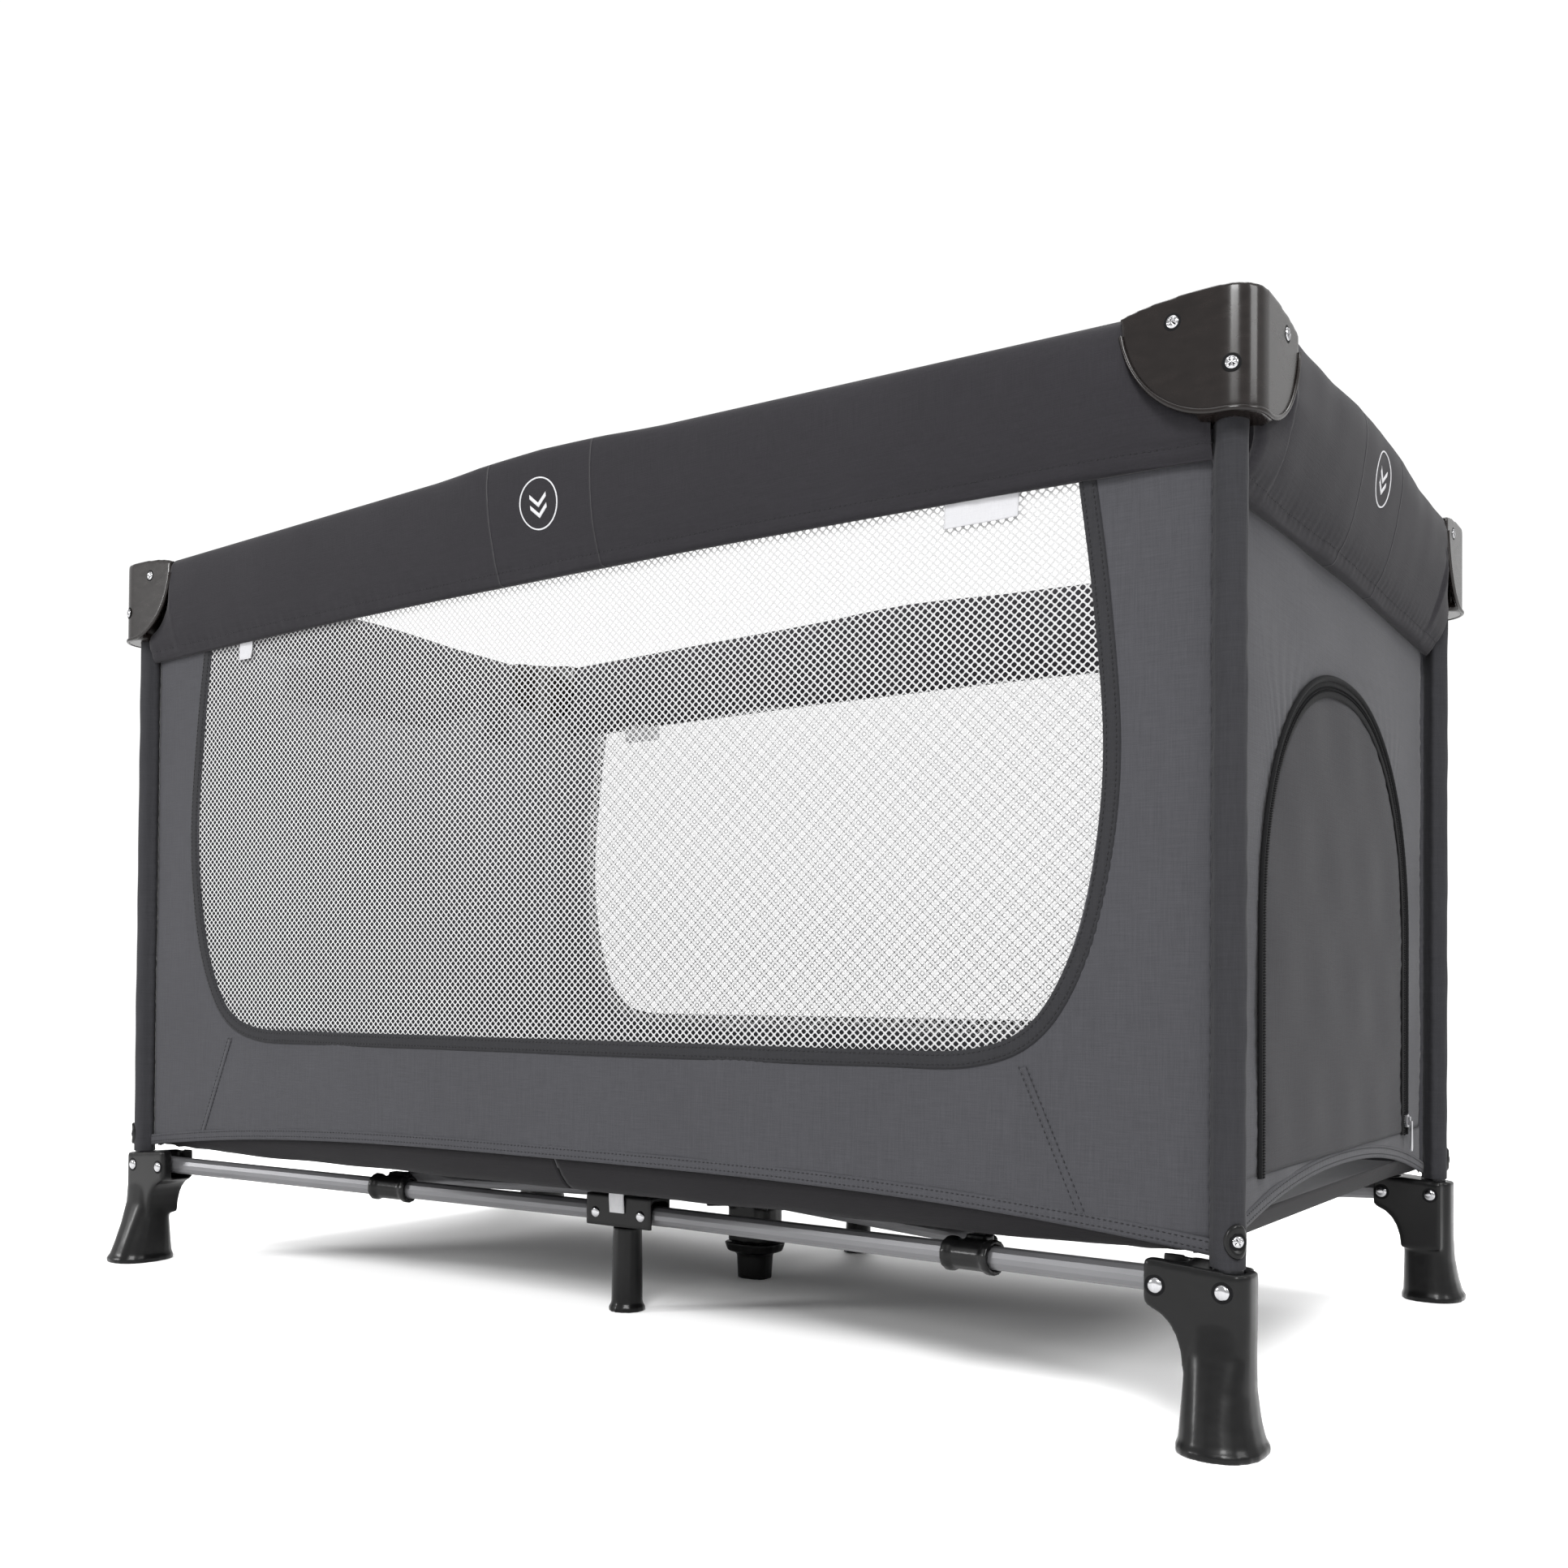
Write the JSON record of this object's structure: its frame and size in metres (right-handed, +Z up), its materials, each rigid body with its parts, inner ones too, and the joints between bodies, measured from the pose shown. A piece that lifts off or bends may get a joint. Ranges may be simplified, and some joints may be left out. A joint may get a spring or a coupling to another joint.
{
  "type": "folding playpen",
  "caption": "Rectangular folding playpen and travel cot with mesh windows, a zipped side door, a folding base with a lifting hub, and a padded floor.",
  "frame": {"origin": "centre of the cot, on the floor, at the bottom of its bounding box", "axes": "+X along the cot towards the end wall with the zipped door, +Y across it towards the back, +Z up"},
  "size_m": [1.254, 0.696, 0.765],
  "materials": {
    "cover": "moulded, semi-gloss brown-black",
    "plastic": "moulded, satin black with a fine grain",
    "steel": "satin grey powder coat",
    "black_steel": "satin dark powder coat",
    "button": "moulded, satin dark grey",
    "wall": "woven charcoal polyester with grey mesh windows",
    "sleeve": "woven dark charcoal polyester, padded",
    "door": "woven charcoal polyester with a grey mesh window",
    "floor": "woven dark polyester",
    "mat": "woven grey polyester over foam, quilted in panels",
    "zip": "nickel-plated"
  },
  "bodies": {
    "corner_front_right": {"post_front_right": "black_steel", "corner_cover_front_right": "cover", "foot_front_right": "plastic", "wall_front": "wall", "wall_right": "wall", "rail_sleeve_front": "sleeve", "rail_sleeve_right": "sleeve"},
    "corner_front_left": {"post_front_left": "black_steel", "corner_cover_front_left": "cover", "foot_front_left": "plastic", "wall_left": "wall", "rail_sleeve_left": "sleeve"},
    "corner_back_right": {"post_back_right": "black_steel", "corner_cover_back_right": "cover", "foot_back_right": "plastic", "wall_back": "wall", "rail_sleeve_back": "sleeve"},
    "corner_back_left": {"post_back_left": "black_steel", "corner_cover_back_left": "cover", "foot_back_left": "plastic"},
    "top_rail_front_right": {"top_rail_front_right": "black_steel"},
    "top_rail_front_left": {"top_rail_front_left": "black_steel"},
    "latch_front": {"latch_front": "plastic"},
    "top_rail_back_right": {"top_rail_back_right": "black_steel"},
    "top_rail_back_left": {"top_rail_back_left": "black_steel"},
    "latch_back": {"latch_back": "plastic"},
    "top_rail_right_front": {"top_rail_right_front": "black_steel"},
    "top_rail_right_back": {"top_rail_right_back": "black_steel"},
    "latch_right": {"latch_right": "plastic"},
    "top_rail_left_front": {"top_rail_left_front": "black_steel"},
    "top_rail_left_back": {"top_rail_left_back": "black_steel"},
    "latch_left": {"latch_left": "plastic"},
    "base_front_right": {"base_bar_front_right": "steel", "bar_clamp_front_right": "plastic"},
    "base_front_left": {"base_bar_front_left": "steel", "bar_clamp_front_left": "plastic"},
    "mid_front": {"mid_bracket_front": "plastic", "mid_leg_front": "plastic"},
    "base_back_right": {"base_bar_back_right": "steel", "bar_clamp_back_right": "plastic"},
    "base_back_left": {"base_bar_back_left": "steel", "bar_clamp_back_left": "plastic"},
    "mid_back": {"mid_bracket_back": "plastic", "mid_leg_back": "plastic"},
    "hub": {"hub_housing": "plastic", "hub_foot": "plastic"},
    "arm_front_right": {"hub_arm_front_right": "steel"},
    "arm_front_left": {"hub_arm_front_left": "steel"},
    "arm_back_right": {"hub_arm_back_right": "steel"},
    "arm_back_left": {"hub_arm_back_left": "steel"},
    "floor_right": {"floor_cloth_right": "floor", "mat_right": "mat"},
    "floor_left": {"floor_cloth_left": "floor", "mat_left": "mat"},
    "button_front": {"latch_button_front": "button"},
    "button_back": {"latch_button_back": "button"},
    "button_right": {"latch_button_right": "button"},
    "button_left": {"latch_button_left": "button"},
    "door": {"door_flap": "door"},
    "zip_slider": {"zip_slider": "zip"}
  },
  "joints": [
    {"name": "frame_fold", "type": "hinge", "parent": "corner_front_right", "child": "top_rail_front_right", "pos_m": [0.568, -0.318, 0.735], "axis": [0, -1, 0], "range_deg": [0, 86], "deforming": ["wall_front", "wall_back", "wall_left", "wall_right", "door_flap", "rail_sleeve_front", "rail_sleeve_back", "rail_sleeve_left", "rail_sleeve_right", "floor_cloth_left", "floor_cloth_right", "mat_left", "mat_right"]},
    {"name": "latch_front_right", "type": "hinge", "parent": "top_rail_front_right", "child": "latch_front", "pos_m": [0.04, -0.318, 0.74883], "axis": [0, 1, 0], "range_deg": [0, 86]},
    {"name": "latch_front_left", "type": "hinge", "parent": "latch_front", "child": "top_rail_front_left", "pos_m": [-0.04, -0.318, 0.74883], "axis": [0, 1, 0], "range_deg": [0, 86]},
    {"name": "rail_front_left", "type": "hinge", "parent": "top_rail_front_left", "child": "corner_front_left", "pos_m": [-0.568, -0.318, 0.735], "axis": [0, -1, 0], "range_deg": [0, 86]},
    {"name": "rail_back_right", "type": "hinge", "parent": "corner_back_right", "child": "top_rail_back_right", "pos_m": [0.568, 0.318, 0.735], "axis": [0, -1, 0], "range_deg": [0, 86]},
    {"name": "latch_back_right", "type": "hinge", "parent": "top_rail_back_right", "child": "latch_back", "pos_m": [0.04, 0.318, 0.74883], "axis": [0, 1, 0], "range_deg": [0, 86]},
    {"name": "latch_back_left", "type": "hinge", "parent": "latch_back", "child": "top_rail_back_left", "pos_m": [-0.04, 0.318, 0.74883], "axis": [0, 1, 0], "range_deg": [0, 86]},
    {"name": "rail_back_left", "type": "hinge", "parent": "top_rail_back_left", "child": "corner_back_left", "pos_m": [-0.568, 0.318, 0.735], "axis": [0, -1, 0], "range_deg": [0, 86]},
    {"name": "rail_right_front", "type": "hinge", "parent": "corner_front_right", "child": "top_rail_right_front", "pos_m": [0.609, -0.277, 0.735], "axis": [-1, 0, 0], "range_deg": [0, 86]},
    {"name": "latch_right_front", "type": "hinge", "parent": "top_rail_right_front", "child": "latch_right", "pos_m": [0.609, -0.04, 0.74121], "axis": [1, 0, 0], "range_deg": [0, 86]},
    {"name": "latch_right_back", "type": "hinge", "parent": "latch_right", "child": "top_rail_right_back", "pos_m": [0.609, 0.04, 0.74121], "axis": [1, 0, 0], "range_deg": [0, 86]},
    {"name": "rail_right_back", "type": "hinge", "parent": "top_rail_right_back", "child": "corner_back_right", "pos_m": [0.609, 0.277, 0.735], "axis": [-1, 0, 0], "range_deg": [0, 86]},
    {"name": "rail_left_front", "type": "hinge", "parent": "corner_front_left", "child": "top_rail_left_front", "pos_m": [-0.609, -0.277, 0.735], "axis": [-1, 0, 0], "range_deg": [0, 86]},
    {"name": "latch_left_front", "type": "hinge", "parent": "top_rail_left_front", "child": "latch_left", "pos_m": [-0.609, -0.04, 0.74121], "axis": [1, 0, 0], "range_deg": [0, 86]},
    {"name": "latch_left_back", "type": "hinge", "parent": "latch_left", "child": "top_rail_left_back", "pos_m": [-0.609, 0.04, 0.74121], "axis": [1, 0, 0], "range_deg": [0, 86]},
    {"name": "base_front_right", "type": "hinge", "parent": "corner_front_right", "child": "base_front_right", "pos_m": [0.555, -0.3, 0.104], "axis": [0.1789, 0.9839, 0], "range_deg": [0, 86]},
    {"name": "mid_front_right", "type": "hinge", "parent": "base_front_right", "child": "mid_front", "pos_m": [0.027, -0.204, 0.08995], "axis": [-0.1789, -0.9839, 0], "range_deg": [0, 86]},
    {"name": "mid_front_left", "type": "hinge", "parent": "mid_front", "child": "base_front_left", "pos_m": [-0.027, -0.204, 0.08995], "axis": [0.1789, -0.9839, 0], "range_deg": [0, 86]},
    {"name": "base_back_right", "type": "hinge", "parent": "corner_back_right", "child": "base_back_right", "pos_m": [0.555, 0.3, 0.104], "axis": [-0.1789, 0.9839, 0], "range_deg": [0, 86]},
    {"name": "mid_back_right", "type": "hinge", "parent": "base_back_right", "child": "mid_back", "pos_m": [0.027, 0.204, 0.08995], "axis": [0.1789, -0.9839, 0], "range_deg": [0, 86]},
    {"name": "mid_back_left", "type": "hinge", "parent": "mid_back", "child": "base_back_left", "pos_m": [-0.027, 0.204, 0.08995], "axis": [-0.1789, -0.9839, 0], "range_deg": [0, 86]},
    {"name": "hub_lift", "type": "slide", "parent": "mid_front", "child": "hub", "axis": [0, -0.896, 0.4441], "range_m": [0, 0.1423]},
    {"name": "arm_front_right", "type": "hinge", "parent": "hub", "child": "arm_front_right", "pos_m": [0.03737, -0.02323, 0.084], "axis": [0.5281, 0.8492, 0], "range_deg": [0, 86]},
    {"name": "arm_front_left", "type": "hinge", "parent": "hub", "child": "arm_front_left", "pos_m": [-0.03404, -0.02788, 0.084], "axis": [0.6337, -0.7736, 0], "range_deg": [0, 86]},
    {"name": "arm_back_right", "type": "hinge", "parent": "hub", "child": "arm_back_right", "pos_m": [0.03404, 0.02788, 0.084], "axis": [-0.6337, 0.7736, 0], "range_deg": [0, 86]},
    {"name": "arm_back_left", "type": "hinge", "parent": "hub", "child": "arm_back_left", "pos_m": [-0.03737, 0.02323, 0.084], "axis": [-0.5281, -0.8492, 0], "range_deg": [0, 86]},
    {"name": "floor_right_fold", "type": "hinge", "parent": "corner_front_right", "child": "floor_right", "pos_m": [0.555, 0, 0.104], "axis": [0, 1, 0], "range_deg": [0, 86]},
    {"name": "floor_left_fold", "type": "hinge", "parent": "corner_front_left", "child": "floor_left", "pos_m": [-0.555, 0, 0.104], "axis": [0, -1, 0], "range_deg": [0, 86]},
    {"name": "latch_button_front", "type": "slide", "parent": "latch_front", "child": "button_front", "axis": [0, 1, 0], "range_m": [0, 0.005], "stiffness_N_per_m": 400, "springref_m": -0.002},
    {"name": "latch_button_back", "type": "slide", "parent": "latch_back", "child": "button_back", "axis": [0, -1, 0], "range_m": [0, 0.005], "stiffness_N_per_m": 400, "springref_m": -0.002},
    {"name": "latch_button_right", "type": "slide", "parent": "latch_right", "child": "button_right", "axis": [-1, 0, 0], "range_m": [0, 0.005], "stiffness_N_per_m": 400, "springref_m": -0.002},
    {"name": "latch_button_left", "type": "slide", "parent": "latch_left", "child": "button_left", "axis": [1, 0, 0], "range_m": [0, 0.005], "stiffness_N_per_m": 400, "springref_m": -0.002},
    {"name": "door_open", "type": "hinge", "parent": "corner_front_right", "child": "door", "pos_m": [0.59, 0, 0.17], "axis": [0, 1, 0], "range_deg": [0, 100]},
    {"name": "zip_slide", "type": "slide", "parent": "corner_back_right", "child": "zip_slider", "axis": [0, 0, 1], "range_m": [0, 0.15]}
  ],
  "couplings": [
    {"joint": "latch_front_right", "follows": "frame_fold", "ratio": 1},
    {"joint": "latch_front_left", "follows": "frame_fold", "ratio": 1},
    {"joint": "rail_front_left", "follows": "frame_fold", "ratio": 1},
    {"joint": "rail_back_right", "follows": "frame_fold", "ratio": 1},
    {"joint": "latch_back_right", "follows": "frame_fold", "ratio": 1},
    {"joint": "latch_back_left", "follows": "frame_fold", "ratio": 1},
    {"joint": "rail_back_left", "follows": "frame_fold", "ratio": 1},
    {"joint": "rail_right_front", "follows": "frame_fold", "ratio": 1},
    {"joint": "latch_right_front", "follows": "frame_fold", "ratio": 1},
    {"joint": "latch_right_back", "follows": "frame_fold", "ratio": 1},
    {"joint": "rail_right_back", "follows": "frame_fold", "ratio": 1},
    {"joint": "rail_left_front", "follows": "frame_fold", "ratio": 1},
    {"joint": "latch_left_front", "follows": "frame_fold", "ratio": 1},
    {"joint": "latch_left_back", "follows": "frame_fold", "ratio": 1},
    {"joint": "base_front_right", "follows": "frame_fold", "ratio": 1},
    {"joint": "mid_front_right", "follows": "frame_fold", "ratio": 1},
    {"joint": "mid_front_left", "follows": "frame_fold", "ratio": 1},
    {"joint": "base_back_right", "follows": "frame_fold", "ratio": 1},
    {"joint": "mid_back_right", "follows": "frame_fold", "ratio": 1},
    {"joint": "mid_back_left", "follows": "frame_fold", "ratio": 1},
    {"joint": "hub_lift", "follows": "frame_fold", "m_per_rad": 0.094806},
    {"joint": "arm_front_right", "follows": "frame_fold", "ratio": 1},
    {"joint": "arm_front_left", "follows": "frame_fold", "ratio": 1},
    {"joint": "arm_back_right", "follows": "frame_fold", "ratio": 1},
    {"joint": "arm_back_left", "follows": "frame_fold", "ratio": 1},
    {"joint": "floor_right_fold", "follows": "frame_fold", "ratio": 1},
    {"joint": "floor_left_fold", "follows": "frame_fold", "ratio": 1}
  ]
}
